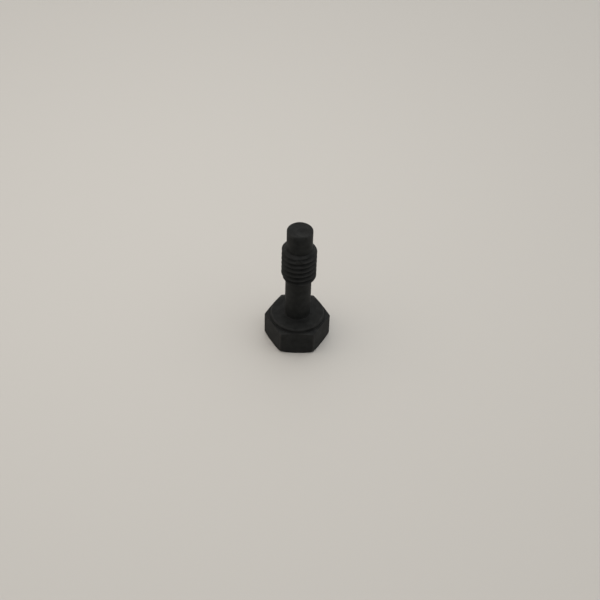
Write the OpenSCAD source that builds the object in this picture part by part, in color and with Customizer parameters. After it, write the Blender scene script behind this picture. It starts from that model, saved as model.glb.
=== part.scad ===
// Hex head captive screw: head, washer face, thin shank, short thread and dog point.
// The screw stands on the end face of its head, and its axis is the Z axis.

/* [Head] */
// Width of the hexagon across its flats
head_across_flats = 10; // [8:0.1:14]
// Height of the hexagon
head_height = 4.7; // [2:0.1:10]
// Diameter at which the chamfer leaves the end face
end_chamfer_d = 10.1; // [7:0.1:11]
// Slope of the end chamfer, from the end face
end_chamfer_angle = 30; // [10:1:40]
// Diameter at which the chamfer leaves the bearing side
bearing_chamfer_d = 10; // [9.6:0.1:11]
// Slope of the chamfer on the bearing side
bearing_chamfer_angle = 16; // [5:1:40]

/* [Washer face] */
// Diameter of the raised washer face
washer_face_d = 9.4; // [7:0.1:9.6]
// Height of the washer face above the hexagon
washer_face_height = 0.75; // [0.3:0.05:2]
// Break on the rim of the washer face
washer_rim_break = 0.2; // [0.05:0.01:0.25]

/* [Shank] */
// Length of the plain shank, from the washer face to the thread
shank_length = 8.55; // [3:0.05:40]
// Room between the shank and the tapped hole that it hangs in, across the diameter
shank_clearance = 0.45; // [0.3:0.01:2]
// Radius of the fillet under the head
underhead_fillet = 0.1; // [0.05:0.05:0.6]

/* [Thread] */
// Major diameter of the thread
thread_d = 6; // [5:0.05:8]
// Pitch of the thread
thread_pitch = 1; // [0.7:0.05:1.25]
// Length of the thread
thread_length = 6.3; // [3:0.05:9]
// Direction in which the crest leaves the shank end of the thread
thread_start_angle = 200; // [0:5:355]
// Height of the lead-in chamfer at the point end
lead_in_height = 0.4; // [0.2:0.05:1.5]
// Height of the run-out chamfer at the shank end
run_out_height = 0.25; // [0.1:0.05:1.5]
// Width of the flat step left at each end of the thread
end_step = 0.1; // [0.05:0.01:0.14]

/* [Dog point] */
// Length of the dog point
dog_length = 3.85; // [1:0.05:12]
// Room between the dog point and the tapped hole that it enters, across the diameter
dog_clearance = 0.5; // [0.3:0.01:2]
// Edge break round the tip
dog_edge_break = 0.2; // [0.05:0.01:0.5]
// Diameter of the centre mark in the tip
centre_mark_d = 2.2; // [0.4:0.1:2.4]
// Depth of the centre mark
centre_mark_depth = 0.3; // [0.05:0.05:0.8]

/* [Hidden] */

finish_colour = [0.05, 0.05, 0.055];

// Basic 60 degree thread form: the sharp triangle, its root depth and its tapped hole
flank_half_angle = 30;
sharp_height = thread_pitch / (2 * tan(flank_half_angle));
root_depth = sharp_height * 17 / 24;
tapped_hole_d = thread_d - sharp_height * 5 / 4;

// Rows of points in one pitch, with the crest flat between two of them
thread_rows = 8;
// Columns of points round the axis for each step of one row
columns_per_row = 5;
thread_columns = thread_rows * columns_per_row;
row_height = thread_pitch / thread_rows;
crest_half_width = row_height / 2;
crest_half_turn = 180 / thread_rows;
rows = floor(thread_length / row_height);

// Diameters that follow from the thread
shank_d = tapped_hole_d - shank_clearance;
dog_d = tapped_hole_d - dog_clearance;

// Heights along the axis, from the end face of the head
bearing_z = head_height + washer_face_height;
thread_z = bearing_z + shank_length;
dog_z = thread_z + thread_length;
tip_z = dog_z + dog_length;

head_across_corners = head_across_flats / cos(30);
overlap = 0.5;
round_faces = 96;

// A disc whose rim slopes back by the given angle from the diameter at its face
module chamfer_cone(face_d, slope, height) {
    cylinder(h = height, d1 = face_d, d2 = face_d + 2 * height / tan(slope), $fn = round_faces);
}

// Hexagon with a corner on the X axis and both of its ends chamfered
module head() {
    intersection() {
        cylinder(h = head_height, d = head_across_corners, $fn = 6);
        chamfer_cone(end_chamfer_d, end_chamfer_angle, head_height);
        translate([0, 0, head_height])
            mirror([0, 0, 1])
                chamfer_cone(bearing_chamfer_d, bearing_chamfer_angle, head_height);
    }
}

// Washer face, fillet and shank, turned as one profile that reaches into the head and the thread
module washer_face_and_shank() {
    washer_r = washer_face_d / 2;
    shank_r = shank_d / 2;
    fillet_centre = [shank_r + underhead_fillet, bearing_z + underhead_fillet];
    rotate_extrude($fn = round_faces)
        difference() {
            polygon([
                [0, head_height - overlap],
                [washer_r, head_height - overlap],
                [washer_r, bearing_z - washer_rim_break],
                [washer_r - washer_rim_break, bearing_z],
                [fillet_centre.x, bearing_z],
                [fillet_centre.x, fillet_centre.y],
                [shank_r, fillet_centre.y],
                [shank_r, thread_z + overlap],
                [0, thread_z + overlap]
            ]);
            translate(fillet_centre)
                circle(r = underhead_fillet, $fn = round_faces);
        }
}

// Depth of the groove at a number of turns from the middle of a crest
function groove_depth(turns) =
    let (from_crest = abs(turns - round(turns)) * thread_pitch)
    min(root_depth, max(0, (from_crest - crest_half_width) / tan(flank_half_angle)));

// Radius that the chamfers at the two ends of the thread leave at a height above its start
function end_limit(height) =
    let (
        major_r = thread_d / 2,
        start_r = shank_d / 2 + end_step,
        finish_r = dog_d / 2 + end_step,
        start_limit = start_r + (major_r - start_r) * height / run_out_height,
        finish_limit = finish_r + (major_r - finish_r) * (thread_length - height) / lead_in_height
    )
    min(start_limit, finish_limit);

// One point of the thread: rows climb the helix, and an end ring closes each end of a column
function thread_point(column, row) =
    let (
        step = floor(column / columns_per_row),
        climb = (column % columns_per_row + 0.5) / columns_per_row,
        height = row < 0 ? 0 : row == rows ? thread_length : (row + climb) * row_height,
        form_r = thread_d / 2 - groove_depth((row - step - 0.5) / thread_rows),
        r = row < 0 || row == rows ? end_limit(height) : min(form_r, end_limit(height)),
        angle = crest_half_turn + 360 * (column + 0.5) / thread_columns
    )
    [r * cos(angle), r * sin(angle), height];

// Thread with true helical flanks, as one closed surface of quads
module thread() {
    column_points = rows + 2;
    points = [
        for (column = [0 : thread_columns - 1])
            for (row = [-1 : rows])
                thread_point(column, row)
    ];
    // Number of a point, counting the start ring as row -1 and the finish ring as the last row
    function at(column, row) = (column % thread_columns) * column_points + row + 1;
    // Strips between columns that keep their rows, and the strips where every row moves up by one
    level = [for (column = [0 : thread_columns - 1]) if ((column + 1) % columns_per_row != 0) column];
    moving = [for (column = [0 : thread_columns - 1]) if ((column + 1) % columns_per_row == 0) column];
    faces = [
        for (column = level)
            for (row = [-1 : rows - 1])
                each [
                    [at(column, row), at(column, row + 1), at(column + 1, row + 1)],
                    [at(column, row), at(column + 1, row + 1), at(column + 1, row)]
                ],
        for (column = moving)
            for (row = [-1 : rows - 2])
                each [
                    [at(column, row), at(column, row + 1), at(column + 1, row + 2)],
                    [at(column, row), at(column + 1, row + 2), at(column + 1, row + 1)]
                ],
        for (column = moving)
            each [
                [at(column, -1), at(column + 1, 0), at(column + 1, -1)],
                [at(column, rows - 1), at(column, rows), at(column + 1, rows)]
            ],
        [for (column = [0 : thread_columns - 1]) at(column, -1)],
        [for (column = [thread_columns - 1 : -1 : 0]) at(column, rows)]
    ];
    translate([0, 0, thread_z])
        rotate([0, 0, thread_start_angle])
            polyhedron(points = points, faces = faces, convexity = 10);
}

// Plain pilot with a broken edge and a shallow centre mark, which starts inside the thread
module dog_point() {
    dog_r = dog_d / 2;
    rotate_extrude($fn = round_faces)
        polygon([
            [0, thread_z + overlap],
            [dog_r, thread_z + overlap],
            [dog_r, tip_z - dog_edge_break],
            [dog_r - dog_edge_break, tip_z],
            [centre_mark_d / 2, tip_z],
            [0, tip_z - centre_mark_depth]
        ]);
}

// The whole screw is one piece
module captive_screw() {
    color(finish_colour)
        union() {
            head();
            washer_face_and_shank();
            thread();
            dog_point();
        }
}

captive_screw();
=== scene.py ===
import math

import bmesh
import bpy
from mathutils import Matrix, Vector


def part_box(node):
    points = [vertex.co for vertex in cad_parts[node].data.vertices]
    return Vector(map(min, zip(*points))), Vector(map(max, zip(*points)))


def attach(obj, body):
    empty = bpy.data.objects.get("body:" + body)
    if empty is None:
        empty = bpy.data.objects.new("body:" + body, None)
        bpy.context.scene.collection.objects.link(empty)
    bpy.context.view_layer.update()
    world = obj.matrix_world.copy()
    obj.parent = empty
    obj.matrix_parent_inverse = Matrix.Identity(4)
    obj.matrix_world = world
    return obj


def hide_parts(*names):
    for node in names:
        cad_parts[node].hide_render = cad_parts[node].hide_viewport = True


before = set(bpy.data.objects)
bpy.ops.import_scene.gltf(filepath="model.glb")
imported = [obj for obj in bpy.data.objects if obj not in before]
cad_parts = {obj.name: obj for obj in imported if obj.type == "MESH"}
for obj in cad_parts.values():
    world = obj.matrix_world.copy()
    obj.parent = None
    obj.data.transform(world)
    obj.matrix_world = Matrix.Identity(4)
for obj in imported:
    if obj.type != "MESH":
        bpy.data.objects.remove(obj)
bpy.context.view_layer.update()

# ---------------------------------------------------------------------------
# The head: hexagon bar, drawn to 10 mm across its flats. Both of its ends are
# chamfered in the lathe and every edge is a little rounded by tumbling. Its
# skin is laid in rings from the middle of the end face up to the washer face.
# ---------------------------------------------------------------------------

mm = 0.001
low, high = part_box("captive_screw")
across_corners = high.x - low.x
flat_apothem = across_corners / 2 * math.cos(math.pi / 6)
head_height = 4.7 * mm
end_chamfer_r = 5.05 * mm
end_chamfer_slope = math.radians(30)
bearing_chamfer_r = 5.0 * mm
bearing_chamfer_slope = math.radians(16)
corner_round = 0.25 * mm
edge_round = 0.05 * mm
# The edges are painted paler: partly rubbing, partly a painted highlight
corner_rub_and_highlight = 0.7
corner_rub_and_highlight_reach = 0.03
chamfer_rub_and_highlight = 0.3

columns = 288
columns_per_flat = columns // 6
corner_steps = 4
end_face_rings = (0.12, 0.3, 0.5, 0.7, 0.86)
wall_rings = (0.1, 0.25, 0.4, 0.55, 0.7, 0.85, 0.93)
# A row this far beside each rounded edge keeps the rounding off the flat faces
guard = 0.02 * mm


def head_angles():
    """Directions of the columns on the head: close together on the rounded corners."""
    corner_centre = (flat_apothem - corner_round) / math.cos(math.pi / 6)
    half = [0.0]
    for step in range(1, corner_steps + 1):
        turn = math.radians(30) * step / corner_steps
        out = corner_centre + corner_round * math.cos(turn)
        half.append(math.atan2(corner_round * math.sin(turn), out))
    flat_half = (flat_apothem - corner_round) * math.tan(math.pi / 6)
    half.append(math.pi / 6 - math.atan((flat_half - guard) / flat_apothem))
    open_steps = columns_per_flat // 2 - len(half) + 1
    start = half[-1]
    for step in range(1, open_steps + 1):
        share = step / open_steps
        eased = share * (0.55 + 0.45 * share)
        half.append(start + (math.pi / 6 - start) * eased)
    sector = half[:-1] + [math.pi / 3 - angle for angle in reversed(half)][:-1]
    return [math.pi / 3 * corner + angle for corner in range(6) for angle in sector]


def hexagon_r(angle):
    """Reach of the hexagon, with its corners rounded, in a direction."""
    from_corner = (angle + math.pi / 6) % (math.pi / 3) - math.pi / 6
    from_flat = math.pi / 6 - abs(from_corner)
    if math.tan(from_flat) * flat_apothem <= (flat_apothem - corner_round) * math.tan(math.pi / 6):
        return flat_apothem / math.cos(from_flat)
    centre = (flat_apothem - corner_round) / math.cos(math.pi / 6)
    across = centre * math.sin(from_corner)
    return centre * math.cos(from_corner) + math.sqrt(corner_round ** 2 - across ** 2)


def corner_wear_and_highlight(angle):
    """Rubbing and painted highlight on the hexagon's upright edges, 1 on a corner and 0 a little way
    along the flats.
    """
    from_corner = (angle + math.pi / 6) % (math.pi / 3) - math.pi / 6
    return math.exp(-(from_corner / corner_rub_and_highlight_reach) ** 2)


def rounded_edge(centre, start, finish, steps, rub_and_highlight):
    """Points round an edge of the head, as (radius, height, paleness from rubbing and painted
    highlight).
    """
    points = []
    for step in range(steps + 1):
        turn = start + (finish - start) * step / steps
        r = centre[0] + edge_round * math.cos(turn)
        height = centre[1] + edge_round * math.sin(turn)
        points.append((r, height, rub_and_highlight * math.sin(math.pi * step / steps)))
    return points


def head_outline(wall_r, corner):
    """Section of the head in one direction, as (radius, height, paleness from rubbing and painted
    highlight), from the end face up.
    """
    inner = wall_r - edge_round
    end_inset = end_chamfer_r - edge_round * math.tan(end_chamfer_slope / 2)
    end_corner = (min(end_inset, inner), edge_round)
    end_drop = max(0, inner - end_inset) * math.tan(end_chamfer_slope)
    wall_foot = (inner, edge_round + end_drop)
    bearing_inset = bearing_chamfer_r - edge_round * math.tan(bearing_chamfer_slope / 2)
    bearing_corner = (min(bearing_inset, inner), head_height - edge_round)
    bearing_drop = max(0, inner - bearing_inset) * math.tan(bearing_chamfer_slope)
    wall_top = (inner, head_height - edge_round - bearing_drop)
    end_turn = end_chamfer_slope - math.pi / 2
    bearing_turn = math.pi / 2 - bearing_chamfer_slope
    wall_rub_and_highlight = corner_rub_and_highlight * corner
    outline = [(end_corner[0] * share, 0, 0) for share in end_face_rings]
    outline += [(end_corner[0] - guard, 0, 0)]
    outline += rounded_edge(end_corner, -math.pi / 2, end_turn, 3, chamfer_rub_and_highlight)
    outline += rounded_edge(wall_foot, end_turn, 0, 5, chamfer_rub_and_highlight + wall_rub_and_highlight)
    outline += [(wall_r, wall_foot[1] + guard, wall_rub_and_highlight)]
    for share in wall_rings:
        outline += [(wall_r, wall_foot[1] + (wall_top[1] - wall_foot[1]) * share, wall_rub_and_highlight)]
    outline += [(wall_r, wall_top[1] - guard, wall_rub_and_highlight)]
    outline += rounded_edge(wall_top, 0, bearing_turn, 5, chamfer_rub_and_highlight + wall_rub_and_highlight)
    outline += rounded_edge(bearing_corner, bearing_turn, math.pi / 2, 2, chamfer_rub_and_highlight)
    return outline


skin = bmesh.new()
# This layer holds how pale each edge is painted: partly rubbing, partly painted highlight
edge_layer = skin.verts.layers.float.new("edge_wear")
bar_layer = skin.verts.layers.float.new("drawn_bar")


def skin_point(r, angle, height, wear_and_highlight=0, drawn=0):
    """One point of the skin."""
    point = skin.verts.new((r * math.cos(angle), r * math.sin(angle), height))
    point[edge_layer] = wear_and_highlight
    point[bar_layer] = drawn
    return point


def join_rings(lower, upper):
    """Faces between two rings that have the same number of points."""
    for here in range(len(lower)):
        after = (here + 1) % len(lower)
        skin.faces.new((lower[here], lower[after], upper[after], upper[here]))


def close_ring(ring, centre):
    """Faces from a ring to the point in its middle."""
    for here in range(len(ring)):
        skin.faces.new((centre, ring[(here + 1) % len(ring)], ring[here]))


hexagon_angles = head_angles()
outlines = [head_outline(hexagon_r(angle), corner_wear_and_highlight(angle)) for angle in hexagon_angles]
head_rings = []
for row in range(len(outlines[0])):
    ring = []
    for angle, outline in zip(hexagon_angles, outlines):
        r, height, wear_and_highlight = outline[row]
        drawn = 1 if edge_round < height < head_height - edge_round else 0
        ring.append(skin_point(r, angle, height, wear_and_highlight, drawn))
    head_rings.append(ring)
for lower, upper in zip(head_rings, head_rings[1:]):
    join_rings(lower, upper)
close_ring(head_rings[0], skin_point(0, 0, 0))

# ---------------------------------------------------------------------------
# The washer face and the shank: turned from the same bar in one cut. The rim
# of the washer face is broken, and a fillet runs from the face into the shank,
# which is thinner than the thread's root so that a panel can hold the screw.
# ---------------------------------------------------------------------------

washer_r = 4.70 * mm
bearing_z = head_height + 0.75 * mm
rim_break = 0.20 * mm
break_round = 0.05 * mm
foot_round = 0.06 * mm
shank_r = 4.4675 / 2 * mm
underhead_fillet = 0.10 * mm
thread_z = bearing_z + 8.55 * mm

even_angles = [2 * math.pi * column / columns for column in range(columns)]


def spaced(start, finish, count):
    """Points between two places on a turned profile, without its ends."""
    shares = [(step + 1) / (count + 1) for step in range(count)]
    return [(*Vector(start).lerp(Vector(finish), share), 0) for share in shares]


def turned_outline(corners):
    """Points, as (radius, height, paleness from rubbing and painted highlight), along a turned
    profile with rounded corners.

    A corner is (radius, height, rounding, steps round it, rings on the stretch before it).
    """
    points = []
    last = corners[0][:2]
    for before, corner, after in zip(corners, corners[1:], corners[2:]):
        rounding, steps, rings = corner[2:]
        place = Vector(corner[:2])
        back = (Vector(before[:2]) - place).normalized()
        ahead = (Vector(after[:2]) - place).normalized()
        half = back.angle(ahead) / 2
        reach = rounding / math.tan(half)
        centre = place + (back + ahead).normalized() * rounding / math.sin(half)
        start = place + back * reach - centre
        finish = place + ahead * reach - centre
        sweep = start.angle_signed(finish)
        convex = 1 if back.cross(ahead) < 0 else 0
        first = place + back * (reach + guard)
        points += spaced(last, first, rings)
        points.append((*first, 0))
        for step in range(steps + 1):
            spoke = Matrix.Rotation(-sweep * step / steps, 2) @ start
            # Convex corners are painted paler: partly rubbing, partly painted highlight
            wear_and_highlight = convex * math.sin(math.pi * step / steps)
            points.append((*(centre + spoke), wear_and_highlight))
        last = place + ahead * (reach + guard)
        points.append((*last, 0))
    return points + spaced(last, corners[-1][:2], corners[-1][4])


def lay_turned(points, below):
    """Adds rings for points along a turned profile, joined to the ring below them."""
    for r, height, wear_and_highlight in points:
        ring = [skin_point(r, angle, height, wear_and_highlight) for angle in even_angles]
        join_rings(below, ring)
        below = ring
    return below


washer_points = turned_outline([
    (bearing_chamfer_r, head_height, 0, 0, 0),
    (washer_r, head_height, foot_round, 3, 0),
    (washer_r, bearing_z - rim_break, break_round, 3, 0),
    (washer_r - rim_break, bearing_z, break_round, 3, 0),
    (shank_r, bearing_z, underhead_fillet, 8, 10),
    (shank_r, thread_z, 0, 0, 28),
])
shank_top = lay_turned(washer_points + [(shank_r, thread_z, 0)], head_rings[-1])

# ---------------------------------------------------------------------------
# The thread: M6 x 1, right hand, cut to the 60 degree form, in rows that climb
# with the helix. Both of its ends are chamfered down to just above the shank
# and the dog point, and its first full crest took a knock at the front.
# ---------------------------------------------------------------------------

thread_r = 6.0 / 2 * mm
pitch = 1.0 * mm
thread_length = 6.3 * mm
thread_start = math.radians(200)
sharp_height = pitch / (2 * math.tan(math.pi / 6))
root_depth = sharp_height * 17 / 24
crest_half_width = pitch / 16
crest_round = 0.05 * mm
root_round = 0.08 * mm
end_step = 0.1 * mm
run_out = 0.25 * mm
lead_in = 0.4 * mm
dog_r = 4.4175 / 2 * mm
knock_angle = math.radians(270)
knock_half_width = math.radians(12)
knock_z = 5.32 * mm
knock_half_height = 0.48 * mm
knock_r = 2.75 * mm
# Thread crests are painted paler: partly rubbing, and a painted highlight strongest on the right
# front
crest_rub_and_highlight = 0.8
crest_rub_and_highlight_depth = 0.35 * mm
crest_highlight_angle = math.radians(-25)
rows_per_pitch = 24


def soft_min(first, second, blend):
    """The smaller of two lengths, eased into each other where they are close."""
    mix = max(0.0, blend - abs(first - second)) / blend
    return min(first, second) - mix * mix * blend / 4


def thread_form(turns):
    """Radius of the thread at a number of turns from the middle of a crest."""
    from_crest = abs(turns - round(turns)) * pitch
    flank = thread_r - (from_crest - crest_half_width) / math.tan(math.pi / 6)
    crested = soft_min(thread_r, flank, crest_round)
    return -soft_min(-crested, root_depth - thread_r, root_round)


def thread_r_at(angle, height):
    """Radius of the thread's skin in a direction and at a height above its start."""
    start_limit = shank_r + end_step + (thread_r - shank_r - end_step) * height / run_out
    from_finish = thread_length - height
    finish_limit = dog_r + end_step + (thread_r - dog_r - end_step) * from_finish / lead_in
    turns = height / pitch - (angle - thread_start) / (2 * math.pi)
    r = soft_min(thread_form(turns), min(start_limit, finish_limit), crest_round)
    knock_across = (angle - knock_angle) / knock_half_width
    knock_along = (height - knock_z) / knock_half_height
    knocked = math.exp(-(knock_across ** 2 + knock_along ** 2) ** 2)
    return r + (knock_r - r) * knocked


row_count = math.ceil(thread_length / pitch * rows_per_pitch)
thread_rows = range(-rows_per_pitch, row_count + rows_per_pitch + 1)
thread_columns = []
for column, angle in enumerate(even_angles):
    points = []
    for row in thread_rows:
        climb = row / rows_per_pitch + column / columns
        height = min(max(climb * pitch, 0), thread_length)
        r = thread_r_at(angle, height)
        crest = max(0, 1 - (thread_r - r) / crest_rub_and_highlight_depth)
        # Painted highlight: crests paler on the right front, where the light is stronger
        painted_side_highlight = max(0, math.cos(angle - crest_highlight_angle))
        points.append(skin_point(r, angle, thread_z + height, crest * painted_side_highlight * crest_rub_and_highlight))
    thread_columns.append(points)
for column in range(columns):
    here = thread_columns[column]
    after = thread_columns[(column + 1) % columns]
    shift = rows_per_pitch if column == columns - 1 else 0
    for row in range(len(here) - 1 - shift):
        low_row, high_row = row + shift, row + 1 + shift
        skin.faces.new((here[row], after[low_row], after[high_row], here[row + 1]))
join_rings(shank_top, [points[0] for points in thread_columns])

# ---------------------------------------------------------------------------
# The dog point: a plain pilot turned at the end of the thread, with a broken
# edge. The tailstock centre left a shallow mark in its face, off the axis, and
# a small sloping flat is worn on the front of its edge.
# ---------------------------------------------------------------------------

dog_z = thread_z + thread_length
tip_z = high.z
dog_edge = 0.15 * mm
mark_r = 1.1 * mm
mark_depth = 0.25 * mm
mark_round = 0.3 * mm
rim_shift = Vector((0.40, -0.48)) * mm
pit_shift = Vector((0.12, -0.10)) * mm
face_r = dog_r - dog_edge - 0.1 * mm
flat_reach = 1.82 * mm
flat_slope = 0.55
flat_bulge = 0.02
worn_depth = 1.0 * mm

dog_points = turned_outline([
    (thread_r, dog_z, 0, 0, 0),
    (dog_r, dog_z, foot_round, 3, 0),
    (dog_r, tip_z - dog_edge, break_round, 3, 10),
    (dog_r - dog_edge, tip_z, break_round, 3, 0),
    (mark_r, tip_z, mark_round, 4, 0),
    (0, tip_z - mark_depth, 0, 0, 4),
])
dog_end = lay_turned(dog_points, [points[-1] for points in thread_columns])
close_ring(dog_end, skin_point(0, 0, tip_z - mark_depth))

for point in skin.verts:
    under = tip_z - point.co.z
    if under >= worn_depth:
        continue
    # The mark's rim and its pit drift off the axis, and the broken edge stays
    out = math.hypot(point.co.x, point.co.y)
    if out < face_r:
        drift = pit_shift.lerp(rim_shift, min(1, out / mark_r))
        drift *= min(1, (face_r - out) / (face_r - mark_r))
        point.co.x += drift.x
        point.co.y += drift.y
    # What stands in front of the flat is drawn in to it
    if point.co.y < 0:
        out = math.hypot(point.co.x, point.co.y)
        room = (flat_reach + under * flat_slope) * out / -point.co.y
        kept = min(1, (room + (out - room) * flat_bulge) / out)
        point.co.x *= kept
        point.co.y *= kept

# ---------------------------------------------------------------------------
# The screw is one piece: the rings are welded into one closed skin, which
# stands for the plain solid of the frame.
# ---------------------------------------------------------------------------

bmesh.ops.remove_doubles(skin, verts=skin.verts, dist=1e-7)
bmesh.ops.recalc_face_normals(skin, faces=skin.faces)
for face in skin.faces:
    face.smooth = True
screw_mesh = bpy.data.meshes.new("captive_screw_skin")
skin.to_mesh(screw_mesh)
skin.free()
screw = bpy.data.objects.new("captive_screw_skin", screw_mesh)
bpy.context.scene.collection.objects.link(screw)

# ---------------------------------------------------------------------------
# The finish: black oxide on turned steel, dull with a patchy sheen of oil. It
# has fine lathe rings on all that was turned, draw lines down the flats of the
# hexagon, and edges a shade paler, partly rubbed by handling and partly a
# painted highlight, strongest on the left, with painted highlight on the
# thread crests to the right.
# ---------------------------------------------------------------------------


class Shade:
    """One shader socket. Sums on it add Math nodes, and node() adds any other node."""

    def __init__(self, tree, socket=None):
        self.tree = tree
        self.socket = socket

    def node(self, kind, settings=None, inputs=None, output=0):
        """Adds a node of a kind, sets it up, and gives back one of its outputs."""
        made = self.tree.nodes.new("ShaderNode" + kind)
        for name, value in (settings or {}).items():
            if name == "stops":
                while len(made.color_ramp.elements) < len(value):
                    made.color_ramp.elements.new(0.5)
                for element, (place, colour) in zip(made.color_ramp.elements, value):
                    element.position = place
                    element.color = colour
            else:
                setattr(made, name, value)
        for name, value in (inputs or {}).items():
            if isinstance(value, Shade):
                self.tree.links.new(value.socket, made.inputs[name])
            else:
                made.inputs[name].default_value = value
        return Shade(self.tree, made.outputs[output]) if made.outputs else None

    def math(self, operation, *values):
        return self.node("Math", {"operation": operation}, dict(enumerate(values)))

    def __add__(self, other):
        return self.math("ADD", self, other)

    def __radd__(self, other):
        return self.math("ADD", other, self)

    def __sub__(self, other):
        return self.math("SUBTRACT", self, other)

    def __rsub__(self, other):
        return self.math("SUBTRACT", other, self)

    def __mul__(self, other):
        return self.math("MULTIPLY", self, other)

    def __rmul__(self, other):
        return self.math("MULTIPLY", other, self)

    def __truediv__(self, other):
        return self.math("DIVIDE", self, other)

    def __rtruediv__(self, other):
        return self.math("DIVIDE", other, self)


def black_oxide():
    """The finish of the screw."""
    oxide_dark = (0.0082, 0.0087, 0.0086, 1)
    oxide_pale = (0.0160, 0.0167, 0.0162, 1)
    # Paler colour of the edges: rubbed steel, and a painted highlight
    rubbed_steel_and_highlight = (0.045, 0.043, 0.040, 1)
    ring_relief = 0.0075
    line_relief = 0.0040
    grain_relief = 0.0020
    material = bpy.data.materials.new("black_oxide")
    material.use_nodes = True
    tree = material.node_tree
    tree.nodes.clear()
    start = Shade(tree)
    place = start.node("TexCoord", output="Object")
    place = start.node("VectorMath", {"operation": "SCALE"}, {0: place, "Scale": 1 / mm})
    x, y, z = [start.node("SeparateXYZ", inputs={0: place}, output=axis) for axis in "XYZ"]
    edge = start.node("Attribute", {"attribute_name": "edge_wear"}, output="Fac")
    drawn = start.node("Attribute", {"attribute_name": "drawn_bar"}, output="Fac")

    def noise(vector, scale, detail, roughness):
        values = {"Vector": vector, "Scale": scale, "Detail": detail, "Roughness": roughness}
        return start.node("TexNoise", {"noise_dimensions": "3D"}, values)

    # Lathe rings: noise that changes fast along the cut and hardly at all round it
    r = start.math("SQRT", x * x + y * y)
    ring_place = start.node("CombineXYZ", inputs={0: r * 9, 1: z * 9, 2: x / (r + 0.05) * 0.6})
    rings = noise(ring_place, 1.0, 3.0, 0.6)
    # Draw lines of the bar: noise that is stretched along the axis
    line_place = start.node("CombineXYZ", inputs={0: x * 7, 1: y * 7, 2: z * 0.25})
    lines = noise(line_place, 1.0, 2.0, 0.5)
    marks = rings * (1 - drawn) + lines * drawn
    cloud = noise(place, 0.9, 3.0, 0.55)
    grain = noise(place, 9.0, 2.0, 0.6)

    # Paler edges, partly rubbing and partly painted highlight: the painted highlight makes them
    # palest on the left, and they are uneven along them
    side = 0.72 - x * 0.09
    wear_and_highlight = edge * side * (0.35 + cloud) * 0.5
    oxide_stops = [(0.35, oxide_dark), (0.65, oxide_pale)]
    oxide = start.node("ValToRGB", {"stops": oxide_stops}, {"Fac": cloud * 0.6 + grain * 0.4})
    worn_and_highlit = {"Factor": wear_and_highlight, "A": oxide, "B": rubbed_steel_and_highlight}
    colour = start.node("Mix", {"data_type": "RGBA"}, worn_and_highlit, "Result")
    rough = 0.36 + cloud * 0.12 + marks * 0.08 - wear_and_highlight * 0.06
    relief = rings * (1 - drawn) * ring_relief + lines * drawn * line_relief + grain * grain_relief
    bump = start.node("Bump", inputs={"Height": relief, "Strength": 1.0, "Distance": mm})
    # The oxide is porous: most of it is dull, and the oil on its high spots shines
    film = {"Base Color": colour, "Roughness": rough, "Normal": bump}
    dull = start.node("BsdfPrincipled", inputs={**film, "Specular IOR Level": 0.0})
    oiled = start.node("BsdfPrincipled", inputs={**film, "Specular IOR Level": 0.3})
    shine = 0.17 + cloud * 0.20 + grain * 0.14
    surface = start.node("MixShader", inputs={0: shine, 1: dull, 2: oiled})
    start.node("OutputMaterial", inputs={"Surface": surface})
    return material


screw_mesh.materials.append(black_oxide())
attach(screw, "root")
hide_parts("captive_screw")

# ---------------------------------------------------------------------------
# The table top and the light: a pale, warm white sheet with a painted pool of
# light, under an even light tent, which leaves only a soft dark halo round the
# foot of the screw.
# ---------------------------------------------------------------------------

table_r = 3000 * mm
bpy.ops.mesh.primitive_circle_add(vertices=96, radius=table_r, fill_type="NGON", location=(0, 0, 0))
table = bpy.context.active_object
table.name = "table_top"


def warm_white():
    """The sheet that the screw stands on, with a painted pool of light: palest a little behind it
    and to its left, darker further away.
    """
    white = (0.5535, 0.5381, 0.5085)
    palest_x = -24 * mm
    palest_y = 25 * mm
    fade_reach = 100 * mm
    material = bpy.data.materials.new("warm_white_sheet")
    material.use_nodes = True
    tree = material.node_tree
    tree.nodes.clear()
    start = Shade(tree)
    place = start.node("TexCoord", output="Object")
    x, y = [start.node("SeparateXYZ", inputs={0: place}, output=axis) for axis in "XY"]
    from_x = (x - palest_x) / fade_reach
    from_y = (y - palest_y) / fade_reach
    far = from_x * from_x + from_y * from_y
    # Painted pool of light: the sheet is painted darker away from a pale spot behind the screw and
    # to its left
    painted_falloff = 1 - far * 0.185 / (far * 0.51 + 1)
    colour = start.node("VectorMath", {"operation": "SCALE"}, {0: white, "Scale": painted_falloff})
    paper = {"Base Color": colour, "Roughness": 0.45, "Specular IOR Level": 0.2}
    surface = start.node("BsdfPrincipled", inputs=paper)
    start.node("OutputMaterial", inputs={"Surface": surface})
    return material


table.data.materials.append(warm_white())


def light_tent():
    """White walls that are bright low down and overhead, with a darker gap on the camera's side."""
    tent = bpy.data.worlds.new("light_tent")
    tent.use_nodes = True
    tree = tent.node_tree
    tree.nodes.clear()
    start = Shade(tree)
    towards = start.node("TexCoord", output="Generated")
    x, y, z = [start.node("SeparateXYZ", inputs={0: towards}, output=axis) for axis in "XYZ"]

    def greys(stops):
        settings = {"stops": [(up_from, (level, level, level, 1)) for up_from, level in stops]}
        return start.node("ValToRGB", settings, {"Fac": z})

    wall = greys([(0.28, 0.53), (0.40, 0.0)])
    roof = greys([(0.28, 0.0), (0.40, 0.26), (0.90, 0.26), (0.96, 0.735)])
    span = {"Value": y, "From Min": -0.85, "From Max": -0.55, "To Min": 0.0, "To Max": 1.0}
    gap = start.node("MapRange", {"interpolation_type": "SMOOTHSTEP"}, span)
    glow = (wall * gap + roof) * 3
    hue_stops = [(0.25, (1.0, 0.95, 0.90, 1)), (0.60, (1.0, 1.0, 0.99, 1))]
    hue = start.node("ValToRGB", {"stops": hue_stops}, {"Fac": x * 0.5 + 0.5})
    surface = start.node("Background", inputs={"Color": hue, "Strength": glow})
    start.node("OutputWorld", inputs={"Surface": surface})
    return tent


bpy.context.scene.world = light_tent()


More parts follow.
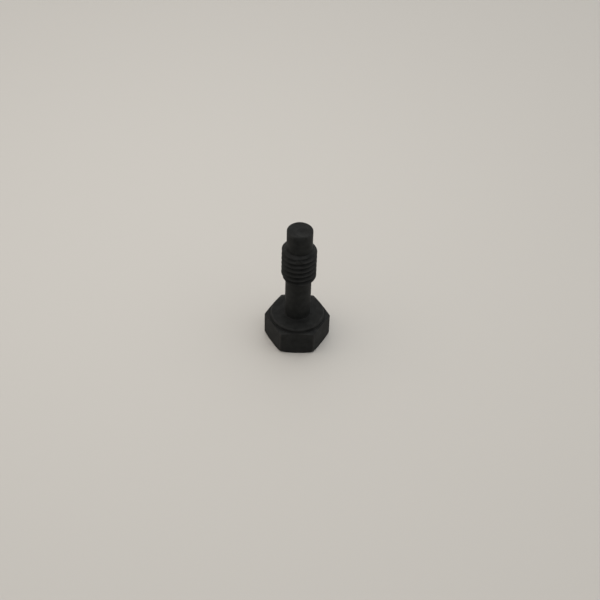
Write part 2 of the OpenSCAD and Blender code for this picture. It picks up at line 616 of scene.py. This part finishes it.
def soft_light(name, place, size, power, colour):
    """A square soft box that faces the foot of the screw."""
    light = bpy.data.lights.new(name, "AREA")
    light.shape = "SQUARE"
    light.size = size
    light.energy = power
    light.color = colour
    lamp = bpy.data.objects.new(name, light)
    lamp.location = place
    lamp.rotation_euler = place.to_track_quat("Z", "Y").to_euler()
    bpy.context.scene.collection.objects.link(lamp)


left_place = Vector((-550, 50, 500)) * mm
right_place = Vector((550, 50, 500)) * mm
soft_light("soft_box_left", left_place, size=500 * mm, power=0.42, colour=(1.0, 0.88, 0.78))
soft_light("soft_box_right", right_place, size=500 * mm, power=0.23, colour=(1.0, 0.985, 0.955))

# ---------------------------------------------------------------------------
# The camera: looks down on the screw at 44 degrees from just left of the
# front flat, with a slight roll, and sees the screw small in a wide frame.
# ---------------------------------------------------------------------------

picture_px = 600
focal_px = 1232.7
camera_elevation = math.radians(44.20)
camera_azimuth = math.radians(-1.01)
camera_roll = math.radians(2.09)
camera_distance = 212.18 * mm
aim = Vector((0, 0, 11 * mm))
aim_px = (298.19, 287.97)
sensor_width = 36.0

back = Vector((
    math.sin(camera_azimuth) * math.cos(camera_elevation),
    -math.cos(camera_azimuth) * math.cos(camera_elevation),
    math.sin(camera_elevation),
))
level = Vector((math.cos(camera_azimuth), math.sin(camera_azimuth), 0))
upright = back.cross(level)
right = level * math.cos(camera_roll) + upright * math.sin(camera_roll)
up = upright * math.cos(camera_roll) - level * math.sin(camera_roll)
aim_right = (aim_px[0] - picture_px / 2) / focal_px * camera_distance
aim_up = (picture_px / 2 - aim_px[1]) / focal_px * camera_distance
stand = aim + back * camera_distance - right * aim_right - up * aim_up

lens = bpy.data.cameras.new("camera")
lens.sensor_width = sensor_width
lens.lens = focal_px / picture_px * sensor_width
lens.clip_start = 10 * mm
lens.clip_end = 20000 * mm
camera = bpy.data.objects.new("camera", lens)
camera.matrix_world = Matrix((
    (right.x, up.x, back.x, stand.x),
    (right.y, up.y, back.y, stand.y),
    (right.z, up.z, back.z, stand.z),
    (0, 0, 0, 1),
))
bpy.context.scene.collection.objects.link(camera)
bpy.context.scene.camera = camera
bpy.context.scene.view_settings.view_transform = "Standard"
